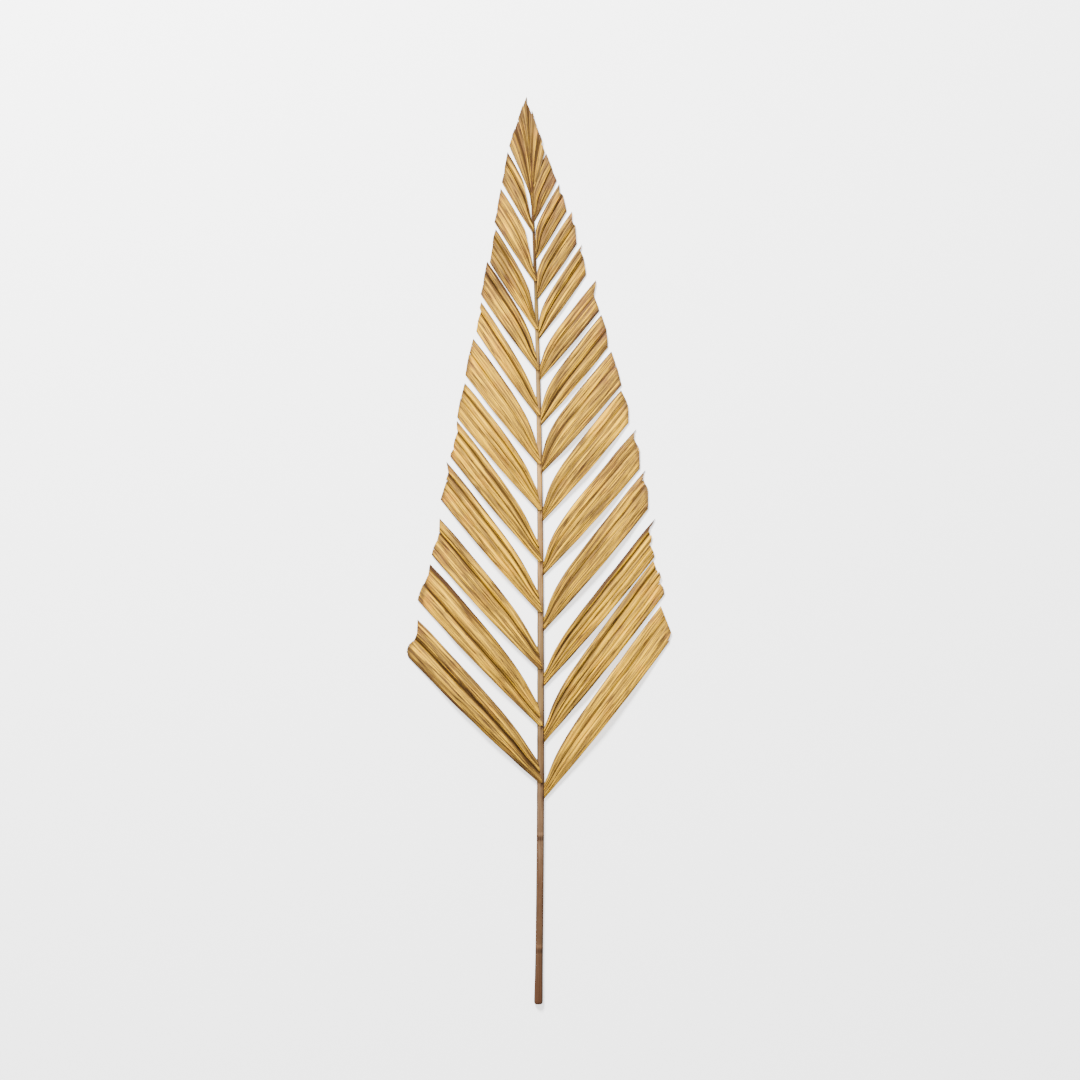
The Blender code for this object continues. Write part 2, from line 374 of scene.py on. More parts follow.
def make_fibre_group():
    """Long streaks along the first axis of the vector, and the thin lines between them."""
    group, start, end = new_group("fibres", ("Per Metre", "Stretch", "Contrast"), ("Streaks", "Lines"))
    tree = Tree(group)
    per_metre = start.outputs["Per Metre"]
    along = tree.math("MULTIPLY", per_metre, start.outputs["Stretch"])
    scale = tree.add("ShaderNodeCombineXYZ", X=along, Y=per_metre, Z=per_metre)
    moved = tree.add("ShaderNodeVectorMath", {"operation": "MULTIPLY"})
    tree.feed(moved.inputs[0], start.outputs["Vector"])
    tree.feed(moved.inputs[1], scale.outputs[0])
    noise = tree.add("ShaderNodeTexNoise", Vector=moved.outputs[0], Scale=1.0, Detail=3.0, Roughness=0.6)
    centred = tree.math("SUBTRACT", noise.outputs["Fac"], 0.5)
    spread = tree.math("MULTIPLY", centred, start.outputs["Contrast"])
    streaks = tree.math("ADD", spread, 0.5, clamp=True)
    tree.feed(end.inputs["Streaks"], streaks)
    tree.feed(end.inputs["Lines"], tree.range(tree.math("ABSOLUTE", centred), 0.0, 0.035, 1.0, 0.0))
    return group


def make_mottle_group():
    """Soft patches of age, from pale to brown."""
    group, start, end = new_group("age_patches", ("Patch Size", "Low", "High"), ("Patches",))
    tree = Tree(group)
    scale = tree.math("DIVIDE", 1.0, start.outputs["Patch Size"])
    noise = tree.add(
        "ShaderNodeTexNoise", Vector=start.outputs["Vector"], Scale=scale, Detail=4.0, Roughness=0.55
    )
    low, high = start.outputs["Low"], start.outputs["High"]
    tree.feed(end.inputs["Patches"], tree.range(noise.outputs["Fac"], low, high, smoothly=True))
    return group


FIBRES = make_fibre_group()
AGE_PATCHES = make_mottle_group()


def new_material(name):
    material = bpy.data.materials.new(name)
    material.use_nodes = True
    shader = material.node_tree.nodes["Principled BSDF"]
    return material, Tree(material.node_tree), shader


def use_group(tree, group, **inputs):
    return tree.add("ShaderNodeGroup", {"node_tree": group}, **inputs)


# ---------------------------------------------------------------- finishes

# Blade tones from the darkest streak to the palest
BLADE_TONES = (
    (0.0, (0.050, 0.025, 0.008, 1)),
    (0.2, (0.108, 0.060, 0.020, 1)),
    (0.4, (0.189, 0.106, 0.026, 1)),
    (0.6, (0.344, 0.190, 0.020, 1)),
    (0.8, (0.632, 0.342, 0.009, 1)),
    (1.0, (0.890, 0.490, 0.005, 1)),
)
# Crease lines: the leaf's own brown, deepened by painted shade in the folds
CREASE_BROWN_AND_SHADE = (0.040, 0.019, 0.006, 1)
RIM_BROWN = (0.105, 0.072, 0.036, 1)
CUT_BROWN = (0.100, 0.058, 0.027, 1)
EDGE_BAND_BROWN = (0.050, 0.024, 0.012, 1)
WARM_TINT = (0.98, 0.82, 0.9, 1)
END_TINT = (0.93, 0.80, 1.6, 1)
END_REACH = 0.4

# Streaks along a blade, broad to fine, and their weights in its tone
BROAD_STREAKS = {"Per_Metre": 240.0, "Stretch": 0.03, "Contrast": 3.5}
MEDIUM_STREAKS = {"Per_Metre": 640.0, "Stretch": 0.025, "Contrast": 5.0}
FINE_STREAKS = {"Per_Metre": 1300.0, "Stretch": 0.02, "Contrast": 5.0}
STREAK_WEIGHTS = (0.33, 0.52, 0.26)
TONE_START = 0.236

# Patches of age on a blade
BROWN_PATCHES = {"Patch_Size": 0.035, "Low": 0.38, "High": 0.72}
WARM_PATCHES = {"Patch_Size": 0.022, "Low": 0.45, "High": 0.7}
SPECKS = {"Patch_Size": 0.006, "Low": 0.6, "High": 0.75}

# How much darker each thing makes the tone, and how much paler the top of a gathered pleat is
# Painted shade on the low side of a pleat, partly the leaf's own darker colour there
LOW_SIDE_SHADE = 0.22
# Painted shade in the gathered pleats' hollows, and a painted highlight on their tops
GATHER_SHADE = 0.30
GATHER_HIGHLIGHT = 0.05
LEAST_BROWN, MOST_BROWN = 0.34, 0.64
VEIN_SHADE = 0.48
SPECK_SHADE = 0.12
CREASE_STRENGTH = 0.92
WARM_STRENGTH = 0.55

# The fine relief that both finishes share
RELIEF_STRENGTH = 0.6
RELIEF_DEPTH = 0.3 * MM
BLADE_SHINE = 0.03
STEM_SHINE = 0.07


def add_ramp(tree, value, rows):
    ramp = tree.add("ShaderNodeValToRGB", Fac=value)
    stops = ramp.color_ramp.elements
    while len(stops) < len(rows):
        stops.new(0.5)
    for stop, (position, colour) in zip(stops, rows):
        stop.position = position
        stop.color = colour
    return ramp.outputs[0]


def add_relief(tree, shader, broad, fine, fine_share):
    """Fine relief from the same streaks that colour the surface."""
    height = tree.math("ADD", broad, tree.math("MULTIPLY", fine, fine_share))
    bump = tree.add("ShaderNodeBump", Height=height, Strength=RELIEF_STRENGTH, Distance=RELIEF_DEPTH)
    tree.feed(shader.inputs["Normal"], bump.outputs[0])


def make_blade_material():
    material, tree, shader = new_material("dried_blade")
    strip = tree.add("ShaderNodeUVMap", {"uv_map": "strip"}).outputs[0]
    place = tree.add("ShaderNodeTexCoord").outputs["Object"]
    pleat = tree.attribute("pleat")
    coarse, veins = use_group(tree, FIBRES, Vector=strip, **BROAD_STREAKS).outputs
    medium = use_group(tree, FIBRES, Vector=strip, **MEDIUM_STREAKS).outputs[0]
    fine = use_group(tree, FIBRES, Vector=strip, **FINE_STREAKS).outputs[0]
    patches = use_group(tree, AGE_PATCHES, Vector=place, **BROWN_PATCHES).outputs[0]
    specks = use_group(tree, AGE_PATCHES, Vector=place, **SPECKS).outputs[0]
    warm = use_group(tree, AGE_PATCHES, Vector=strip, **WARM_PATCHES).outputs[0]

    # The tone: streaks, less what darkens them
    tone = TONE_START
    for streaks, weight in zip((coarse, medium, fine), STREAK_WEIGHTS):
        tone = tree.math("ADD", tone, tree.math("MULTIPLY", streaks, weight))
    # Painted shade on the low side of each pleat, partly the leaf's own darker colour there
    low_side = tree.range(pleat, 0.3, -1.0, 0.0, LOW_SIDE_SHADE)
    # Painted shade in the hollows of the gathered pleats near the foot, and a painted highlight on their
    # tops
    in_gather = tree.range(pleat, 0.8, -0.4, -GATHER_HIGHLIGHT, GATHER_SHADE)
    gathered = tree.math("MULTIPLY", tree.attribute("gather"), in_gather)
    brown = tree.range(patches, 0.0, 1.0, LEAST_BROWN, MOST_BROWN)
    aged = tree.math("MULTIPLY", tree.attribute("brown"), brown)
    veined = tree.math("MULTIPLY", veins, VEIN_SHADE)
    for darker in (low_side, gathered, aged, veined, tree.math("MULTIPLY", specks, SPECK_SHADE)):
        tone = tree.math("SUBTRACT", tone, darker)
    colour = add_ramp(tree, tone, BLADE_TONES)

    # Warmer patches, most of all near the trimmed end
    colour = tree.blend(tree.math("MULTIPLY", warm, WARM_STRENGTH), colour, WARM_TINT, "MULTIPLY")
    near_end = tree.math("POWER", tree.attribute("trim"), END_REACH)
    flushed = tree.math("MULTIPLY", near_end, tree.range(warm, 0.0, 1.0, 0.15, 0.95))
    colour = tree.blend(flushed, colour, END_TINT, "MULTIPLY")

    # Creases, own brown with painted shade in the folds; dark edges, a darker edge band, the frayed cut
    ragged = tree.math("MULTIPLY", tree.math("SUBTRACT", medium, 0.5), 0.35)
    line = tree.range(tree.math("ADD", tree.attribute("valley"), ragged), 0.3, 0.95, smoothly=True)
    colour = tree.blend(tree.math("MULTIPLY", line, CREASE_STRENGTH), colour, CREASE_BROWN_AND_SHADE)
    edge_strength = tree.range(coarse, 0.0, 1.0, 0.5, 0.9)
    edge = tree.range(tree.attribute("rim"), 0.62, 1.0, 0.0, edge_strength, smoothly=True)
    colour = tree.blend(edge, colour, RIM_BROWN)
    band_strength = tree.range(medium, 0.0, 1.0, 1.0, 0.78)
    colour = tree.blend(tree.math("MULTIPLY", tree.attribute("dark_edge_band"), band_strength), colour, EDGE_BAND_BROWN)
    frayed = tree.math("ADD", tree.attribute("trim"), tree.math("MULTIPLY", ragged, 1.3))
    frayed = tree.math("ADD", frayed, tree.range(pleat, 0.0, -1.0, 0.0, 0.14))
    at_cut = tree.range(frayed, 0.6, 1.05, 0.0, 0.8, smoothly=True)
    colour = tree.blend(at_cut, colour, CUT_BROWN)

    tree.feed(shader.inputs["Base Color"], colour)
    tree.feed(shader.inputs["Roughness"], tree.range(medium, 0.0, 1.0, 0.62, 0.5))
    shader.inputs["Specular IOR Level"].default_value = BLADE_SHINE
    add_relief(tree, shader, medium, fine, 0.5)
    return material


# Colours along the stem from the cut end to the tip
STEM_TONES = (
    (0.0, (0.080, 0.034, 0.0165, 1)),
    (0.055, (0.092, 0.046, 0.023, 1)),
    (0.075, (0.116, 0.062, 0.031, 1)),
    (0.15, (0.124, 0.064, 0.033, 1)),
    (0.2, (0.180, 0.105, 0.057, 1)),
    (0.31, (0.185, 0.106, 0.045, 1)),
    (0.38, (0.228, 0.138, 0.052, 1)),
    (0.46, (0.275, 0.166, 0.070, 1)),
    (0.55, (0.430, 0.236, 0.080, 1)),
    (0.59, (0.375, 0.212, 0.078, 1)),
    (0.68, (0.560, 0.312, 0.085, 1)),
    (0.76, (0.340, 0.206, 0.072, 1)),
    (0.83, (0.360, 0.220, 0.055, 1)),
    (0.87, (0.170, 0.108, 0.026, 1)),
    (0.91, (0.092, 0.050, 0.013, 1)),
    (1.0, (0.088, 0.037, 0.011, 1)),
)
# The far flank, away from the window, made paler: painted light that lifts the shade left there
FAR_FLANK_PAINTED_LIGHT = (1.25, 1.22, 1.18, 1)
STEM_BROWN = (0.036, 0.017, 0.009, 1)
# Old leaf scars on the bare part, from the cut end, each with a pale rim past it
STEM_SCARS = (58 * MM, 182 * MM)
SCAR_RIM = 5.5 * MM
PALE_RIM = (1.35, 1.35, 1.35, 1)
# Painted shade along both sides of the stem, measured from its middle
STEM_MIDDLE = 0.46
SIDE_SHADE_STRENGTH = 0.72
FOOT_SHADOW_STRENGTH = 0.9

STEM_STREAKS = {"Per_Metre": 700.0, "Stretch": 0.03, "Contrast": 1.6}
STEM_FIBRES = {"Per_Metre": 2400.0, "Stretch": 0.015, "Contrast": 1.8}
STEM_PATCHES = {"Patch_Size": 0.02, "Low": 0.45, "High": 0.75}


def add_scars(tree, colour, y, foot_y, coarse):
    """A dark ring at each scar and a pale one just past it."""
    for scar in STEM_SCARS:
        away = tree.math("ABSOLUTE", tree.math("SUBTRACT", y, foot_y + scar))
        near = tree.range(away, 4 * MM, 1 * MM, smoothly=True)
        marked = tree.math("MULTIPLY", near, tree.range(coarse, 0.35, 0.6, 0.35, 0.85))
        colour = tree.blend(marked, colour, STEM_BROWN)
        away = tree.math("ABSOLUTE", tree.math("SUBTRACT", y, foot_y + scar + SCAR_RIM))
        at_rim = tree.range(away, 2.5 * MM, 0.5 * MM, smoothly=True)
        colour = tree.blend(at_rim, colour, PALE_RIM, "MULTIPLY")
    return colour


def make_stem_material():
    material, tree, shader = new_material("dried_stem")
    place = tree.add("ShaderNodeTexCoord").outputs["Object"]
    x, y, z = tree.add("ShaderNodeSeparateXYZ", Vector=place).outputs
    low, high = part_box("stem")
    turned = tree.add("ShaderNodeCombineXYZ", X=y, Y=x, Z=z).outputs[0]
    coarse = use_group(tree, FIBRES, Vector=turned, **STEM_STREAKS).outputs[0]
    fine = use_group(tree, FIBRES, Vector=turned, **STEM_FIBRES).outputs[0]
    patches = use_group(tree, AGE_PATCHES, Vector=place, **STEM_PATCHES).outputs[0]

    # Along the stem, then across it: painted light on the far flank, and painted shade along both sides
    colour = add_ramp(tree, tree.range(y, low.y, high.y), STEM_TONES)
    flank = tree.attribute("flank")
    colour = tree.blend(tree.range(flank, 0.45, 0.75, smoothly=True), colour, FAR_FLANK_PAINTED_LIGHT, "MULTIPLY")
    from_middle = tree.math("ABSOLUTE", tree.math("SUBTRACT", flank, STEM_MIDDLE))
    side_shade = tree.range(from_middle, 0.32, 0.48, 0.0, SIDE_SHADE_STRENGTH, smoothly=True)
    colour = tree.blend(side_shade, colour, STEM_BROWN)

    streaked = tree.range(coarse, 0.3, 0.8, 0.0, 0.5)
    for share in (streaked, tree.math("MULTIPLY", fine, 0.3), tree.math("MULTIPLY", patches, 0.3)):
        colour = tree.blend(share, colour, STEM_BROWN)
    colour = add_scars(tree, colour, y, low.y, coarse)
    # Painted shadow beside each leaflet's foot
    foot_shadow = tree.math("MULTIPLY", tree.attribute("foot_shadow"), FOOT_SHADOW_STRENGTH)
    colour = tree.blend(foot_shadow, colour, STEM_BROWN)

    tree.feed(shader.inputs["Base Color"], colour)
    tree.feed(shader.inputs["Roughness"], tree.range(coarse, 0.0, 1.0, 0.6, 0.8))
    shader.inputs["Specular IOR Level"].default_value = STEM_SHINE
    add_relief(tree, shader, coarse, fine, 0.4)
    return material


BLADE = make_blade_material()
STEM = make_stem_material()


# ---------------------------------------------------------------- leaflets

def stem_profile():
    """Rows of y, middle x, width and height along the stem, read from the frame."""
    points = np.array([vertex.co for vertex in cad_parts["stem"].data.vertices])
    rows = []
    for y in sorted(set(np.round(points[:, 1], 4))):
        ring = points[np.abs(points[:, 1] - y) < 0.1 * MM]
        middle = (ring[:, 0].min() + ring[:, 0].max()) / 2
        rows.append((y, middle, np.ptp(ring[:, 0]), ring[:, 2].max()))
    return np.array(rows).T


STEM_ROWS = stem_profile()


def stem_at(y):
    """The stem's middle x, its width and its height at y."""
    return [float(np.interp(y, STEM_ROWS[0], row)) for row in STEM_ROWS[1:]]


def node_corners(node, outward):
    """The foot and the shoulder of a leaflet at the stem, and the heel and toe of its trimmed end."""
    points = [vertex.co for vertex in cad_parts[node].data.vertices]
    foot = min(points, key=lambda p: p.y)
    heel = max(points, key=lambda p: outward * p.x)
    toe = max(points, key=lambda p: p.y)
    inner = min(outward * p.x for p in points)
    shoulder = max((p for p in points if outward * p.x < inner + 2 * MM), key=lambda p: p.y)
    return [Vector((p.x, p.y, 0)) for p in (foot, shoulder, heel, toe)]


def cut_strip(name, start, end, width, creases, upper):
    """A flat strip from start to end along X, with a row of vertices at each crease. Its lower edge
    is on the X axis, and its upper edge is on the side that upper says, 1 or -1."""
    deselect_all()
    bpy.ops.mesh.primitive_grid_add(x_subdivisions=STATIONS, y_subdivisions=1, size=1)
    strip = bpy.context.object
    strip.name = name
    strip.data.name = name
    start_edit(strip)
    bpy.ops.mesh.select_all(action="SELECT")
    bpy.ops.transform.resize(value=(end - start, width, 1), center_override=(0, 0, 0))
    bpy.ops.transform.translate(value=((start + end) / 2, upper * width / 2, 0))
    for across, _height, _dark in creases[1:-1]:
        bpy.ops.mesh.select_all(action="SELECT")
        bpy.ops.mesh.bisect(plane_co=(0, upper * across * width, 0), plane_no=(0, 1, 0))
    end_edit()
    return strip


def set_marks(piece, name, values):
    """Stores one number per vertex, which the finish reads by its name."""
    layer = piece.data.attributes.new(name, "FLOAT", "POINT")
    layer.data.foreach_set("value", values)


def mark_strip(strip, width, creases, upper, gathered_end):
    """Stores what the finish needs: how near a dark crease, an edge or the gathered foot is, and
    the pleat's height."""
    mesh = strip.data
    across = [upper * vertex.co.y / width for vertex in mesh.vertices]
    rows = [min(creases, key=lambda row: abs(row[0] - share)) for share in across]
    values = {
        "across": across,
        "pleat": [row[1] for row in rows],
        "valley": [row[2] for row in rows],
        "rim": [1.0 if row[0] in (0, 1) else 0.0 for row in rows],
        "gather": [1 - smooth(vertex.co.x / gathered_end) for vertex in mesh.vertices],
    }
    for name, numbers in values.items():
        set_marks(strip, name, numbers)


def pleat_strip(strip, width, creases, upper):
    """Lifts or sinks each row of vertices to make a crease there, and sharpens the dark ones."""
    start_edit(strip)
    for across, height, dark in creases:
        row = upper * across * width
        pick_vertices(strip, lambda co: abs(co.y - row) < SAME_ROW)
        bpy.ops.transform.translate(value=(0, 0, height * OPEN_DEPTH))
        if dark:
            bpy.ops.transform.edge_crease(value=SHARPEST_CREASE * dark)
    end_edit()


def shape_strip(strip, start, end, shape):
    """Narrows, flattens and lifts the strip, one station at a time."""
    start_edit(strip)
    step = (end - start) / STATIONS
    for number in range(STATIONS + 1):
        x = start + number * step
        width_share, depth_share, sideways, lift = shape(x)
        pick_vertices(strip, lambda co: abs(co.x - x) < step / 10)
        bpy.ops.transform.resize(value=(1, width_share, depth_share), center_override=(x, 0, 0))
        bpy.ops.transform.translate(value=(0, sideways, lift))
    end_edit()


def lay_strip_maps(strip, length, width, seed):
    """The strip's own map, in metres, moved so that no two strips share a pattern, and a short
    copy of it that draws a texture out into ridges."""
    numbers = np.empty(len(strip.data.uv_layers[0].data) * 2)
    strip.data.uv_layers[0].data.foreach_get("uv", numbers)
    numbers = numbers.reshape(-1, 2) * (length, width) + (seed * SEED_STEP[0], seed * SEED_STEP[1])
    strip.data.uv_layers[0].name = "strip"
    strip.data.uv_layers["strip"].data.foreach_set("uv", numbers.ravel())
    ridges = strip.data.uv_layers.new(name="ridges")
    ridges.data.foreach_set("uv", (numbers * (RIDGE_STRETCH, 1)).ravel())


def cut_band(strip, low, high, point, normal):
    """Cuts what lies past a plane off the faces whose share of the width is from low to high."""
    shape = bmesh.from_edit_mesh(strip.data)
    layer = shape.verts.layers.float["across"]

    def in_band(face):
        share = sum(vertex[layer] for vertex in face.verts) / len(face.verts)
        return low <= share < high

    pick_faces(strip, in_band)
    bpy.ops.mesh.bisect(plane_co=point, plane_no=normal, clear_outer=True)


def trim_end(strip, heel, toe, direction, cut, seed):
    """Cuts the end along an outline that follows the line from heel to toe."""
    corners = [
        (share, heel.lerp(toe, share) + direction * (past * MM + EDGE_GAIN)) for share, past in cut
    ]
    start_edit(strip)
    for (low, first), (high, second) in zip(corners, corners[1:]):
        line = (second - first).normalized()
        normal = Vector((line.y, -line.x, 0))
        normal *= math.copysign(1, normal.dot(direction))
        cut_band(strip, low - PAST_EDGE * (low == 0), high + PAST_EDGE * (high == 1), first, normal)
    away = Vector((toe.y - heel.y, heel.x - toe.x, 0)).normalized()
    pick_vertices(strip, lambda co: abs((co - heel).dot(away)) < CUT_DEPTH)
    bpy.ops.transform.vertex_random(offset=CUT_FRAY, seed=seed)
    end_edit()


def raise_ridges(strip):
    """Fine lengthwise ridges in the surface itself."""
    ridges = soft_texture(f"ridges_{strip.name}", RIDGE_SIZE, depth=2)
    apply_modifier(
        strip, "DISPLACE", texture=ridges, texture_coords="UV", uv_layer="ridges", strength=RIDGE_HEIGHT
    )
    strip.data.uv_layers.remove(strip.data.uv_layers["ridges"])


def distance_to_line(points, first, second):
    line = (second - first).normalized()
    return np.abs((points - np.array(first)) @ np.array((line.y, -line.x, 0)))


def read_places(piece):
    places = np.empty(len(piece.data.vertices) * 3)
    piece.data.vertices.foreach_get("co", places)
    return places.reshape(-1, 3)


def cut_foot(strip, side, foot):
    """Cuts off what would lie past the stem, or under it."""
    stem_x, stem_width, _height = stem_at(foot.y)
    bases = (((RIGHT_BASE, 0), RIGHT_BASE_NORMAL),)
    if side == "left":
        bases = (((LEFT_BASE, 0), LEFT_BASE_NORMAL), ((0, -LEFT_UNDER), LEFT_UNDER_NORMAL))
    start_edit(strip)
    for (aside, along), normal in bases:
        bpy.ops.mesh.select_all(action="SELECT")
        base = Vector((stem_x + aside * stem_width, foot.y + along * stem_width, 0))
        bpy.ops.mesh.bisect(plane_co=base, plane_no=normal, clear_outer=True)
    end_edit()


def age_blade(strip, foot, heel, toe, brown, edge_band):
    """Stores how near the cut end a place is, how far it lies in the darker band along an edge and how
    brown the blade is.
    """
    places = read_places(strip)
    length = (heel - foot).length
    direction = (heel - foot).normalized()
    set_marks(strip, "trim", np.exp(-distance_to_line(places, heel, toe) / TRIM_FADE))
    shares = np.empty(len(places))
    strip.data.attributes["across"].data.foreach_get("value", shares)
    outer = np.clip((places - np.array(foot)) @ np.array(direction) / length * 2 - 0.3, 0, 1)
    from_edge = 1 - shares if edge_band > 0 else shares
    set_marks(strip, "dark_edge_band", np.clip((abs(edge_band) - from_edge) / EDGE_BAND_FADE + 0.5, 0, 1) * outer)
    set_marks(strip, "brown", np.full(len(places), brown))


def add_wave(piece, name, size, direction, height):
    texture = soft_texture(name, size)
    apply_modifier(
        piece, "DISPLACE", texture=texture, texture_coords="LOCAL", direction=direction, strength=height
    )


def wave_blade(strip, node):
    """Lets the blade and its edges wander a little."""
    for name, size, direction, height in WAVES:
        add_wave(strip, f"{name}_{node}", size, direction, height)


def make_leaflet(side, number, nature):
    """One pleated leaflet, run between the corners of its node."""
    node = f"leaflet_{side}_{number:02d}"
    outward = 1 if side == "right" else -1
    creases_name, cut_name, brown, edge_band = nature
    creases = CREASES[creases_name]
    foot, shoulder, heel, toe = node_corners(node, outward)
    direction = (heel - foot).normalized()
    across = Vector((-direction.y, direction.x, 0)) * outward
    length = (heel - foot).length
    toe_x, width = (toe - foot).dot(direction), (toe - foot).dot(across)
    neck_x, neck = (shoulder - foot).dot(direction), (shoulder - foot).dot(across)
    size = min(length / FULL_LENGTH, 1)

    start, end = STRIP_START, max(toe_x, length) + STRIP_MARGIN
    depth = mix(SHORT_DEPTH, 1, size)
    ease = OPENING[side] * length
    stem_height = stem_at(foot.y)[2]
    base_lift = stem_height + FOOT_ABOVE
    if side == "right":
        neck_x, neck = neck_x * RIGHT_NECK, neck * RIGHT_NECK
        base_lift = stem_height * FOOT_ON_FLANK
        depth *= RIGHT_DEPTH
    end_lift = OPEN_DEPTH * depth + BLADE_THICKNESS + FLOOR_GAP

    def shape(x):
        opening = 1 - math.exp(-max(x - neck_x, 0) / ease)
        wide = (mix(neck, width, opening) + 2 * EDGE_GAIN) / width
        deep = mix(GATHERED_DEPTH / OPEN_DEPTH, depth, smooth(2 * x / length))
        share = min(max(x / length, 0), 1)
        sag = -SAG * length * 4 * share * (1 - share)
        arch = ARCH * size * math.sin(math.pi * share) ** ARCH_POWER
        return wide, deep, outward * (sag - EDGE_GAIN), mix(base_lift, end_lift, share) + arch

    strip = cut_strip(f"blade_{side}_{number:02d}", start, end, width, creases, outward)
    mark_strip(strip, width, creases, outward, GATHERED_SHARE * length)
    lay_strip_maps(strip, end - start, width, number + (RIGHT_SEED if side == "right" else 0))
    pleat_strip(strip, width, creases, outward)
    shape_strip(strip, start, end, shape)
    apply_modifier(strip, "SUBSURF", levels=FINE_LEVELS, render_levels=FINE_LEVELS)
    raise_ridges(strip)
    turn_to(strip, foot, direction)
    trim_end(strip, heel, toe, direction, CUTS[cut_name], number)
    age_blade(strip, foot, heel, toe, brown, edge_band)
    cut_foot(strip, side, foot)
    wave_blade(strip, node)
    apply_modifier(strip, "SOLIDIFY", thickness=BLADE_THICKNESS, offset=0)
    finish_piece(strip, BLADE, node)


def rest_on_floor(piece):
    """Lifts a piece that would sink into the floor."""
    lowest = min(vertex.co.z for vertex in piece.data.vertices)
    if lowest < FLOOR_GAP:
        start_edit(piece)
        bpy.ops.mesh.select_all(action="SELECT")
        bpy.ops.transform.translate(value=(0, 0, FLOOR_GAP - lowest))
        end_edit()


def finish_piece(piece, material, node):
    """Gives a piece its finish, hangs it under the root body and hides the node it stands for."""
    rest_on_floor(piece)
    piece.data.materials.clear()
    piece.data.materials.append(material)
    choose(piece)
    bpy.ops.object.shade_smooth_by_angle(angle=SMOOTH_ANGLE)
    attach(piece, "root")
    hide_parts(node)


for side, natures in NATURES.items():
    for number, nature in enumerate(natures, start=1):
        make_leaflet(side, number, nature)


# ---------------------------------------------------------------- the fan at the tip

# Depth of its pleats at the foot and at the tip, and the height of the foot, the tip and the arch
FAN_START_DEPTH = 0.4 * MM
FAN_DEPTH = 1.5 * MM
FAN_FOOT_LIFT = 2.2 * MM
FAN_LIFT = 1.6 * MM
FAN_ARCH = 2 * MM
# How far its strip starts before the foot and ends past the tip
FAN_FOOT = 13 * MM
FAN_MARGIN = 4 * MM
FAN_BROWN = 0.65
FAN_TRIM_FADE = 5 * MM
# Share of its length near the foot with the gathered pleats' painted shade and highlight
FAN_DARK_SHARE = 0.35
FAN_WAVE_SIZE = 30 * MM
FAN_WAVE = 0.5 * MM
# How unevenly its creases are cut off, on the right and as a share of that on the left
FAN_JAG = 0.9 * MM
LEFT_JAG = 0.4
FAN_SLANT = 0.03
# The crease that the others leave one by one, and how tightly they are gathered to it
FAN_MIDDLE = 0.46
FAN_GATHER = 2.2
FAN_CREASES = (
    (0, -0.5, 0), (0.09, 0.3, 0), (0.17, -0.6, 1), (0.25, 0.5, 0), (0.33, -0.4, 0.8), (0.4, 0.3, 0),
    (0.46, -0.8, 1), (0.54, 0.5, 0), (0.61, -0.5, 0.7), (0.69, 0.5, 0), (0.78, -0.7, 0.9),
    (0.88, 0.4, 0.3), (1, -0.5, 0),
)


def fan_axis():
    """The fan's foot, its direction, half its foot's width, and its left, right and top corners."""
    points = [vertex.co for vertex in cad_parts["terminal_fan"].data.vertices]
    foot_y = min(p.y for p in points)
    feet = [p.x for p in points if p.y < foot_y + 1 * MM]
    foot = Vector(((min(feet) + max(feet)) / 2, foot_y, 0))
    left, right = min(points, key=lambda p: p.x), max(points, key=lambda p: p.x)
    tip = max(points, key=lambda p: p.y)
    left, right, tip = (Vector((p.x, p.y, 0)) for p in (left, right, tip))
    return foot, (tip - foot).normalized(), (max(feet) - min(feet)) / 2, left, right, tip


def gather_to_middle(fan, start, end, limits):
    """Draws the creases in towards the middle one near the foot, so that they leave it one by one."""
    step = (end - start) / STATIONS
    rows = sorted((row[0] for row in FAN_CREASES), key=lambda share: abs(share - FAN_MIDDLE))
    start_edit(fan)
    for number in range(STATIONS + 1):
        x = start + number * step
        lower, upper = limits(x)
        spread = upper - lower
        tight = mix(FAN_GATHER, 1, smooth(x / end))
        for share in rows:
            reach = (1 - FAN_MIDDLE) if share > FAN_MIDDLE else FAN_MIDDLE
            away = abs(share - FAN_MIDDLE) / reach
            shift = (away**tight - away) * reach * math.copysign(1, share - FAN_MIDDLE) * spread
            y = lower + share * spread
            pick_vertices(fan, lambda co: abs(co.x - x) < step / 10 and abs(co.y - y) < spread / 50)
            bpy.ops.transform.translate(value=(0, shift, 0))
    end_edit()


def trim_fan(fan, crest, left, right, tip):
    """Cuts each pleat off a little unevenly, along the two slanted lines that meet at the tip."""
    rng = random.Random("fan")
    shares = [-PAST_EDGE] + [row[0] for row in FAN_CREASES[1:-1]] + [1 + PAST_EDGE]
    start_edit(fan)
    for low, high in zip(shares, shares[1:]):
        cuts = [(right, tip)] * (low <= crest) + [(tip, left)] * (high >= crest)
        for first, second in cuts:
            along = (second - first).normalized()
            outward = Vector((along.y, -along.x, 0))
            jag = FAN_JAG if first == right else LEFT_JAG * FAN_JAG
            middle = first.lerp(second, 0.5) + outward * rng.uniform(-jag, jag)
            cut_band(fan, low, high, middle, outward + along * rng.uniform(-FAN_SLANT, FAN_SLANT))
    end_edit()


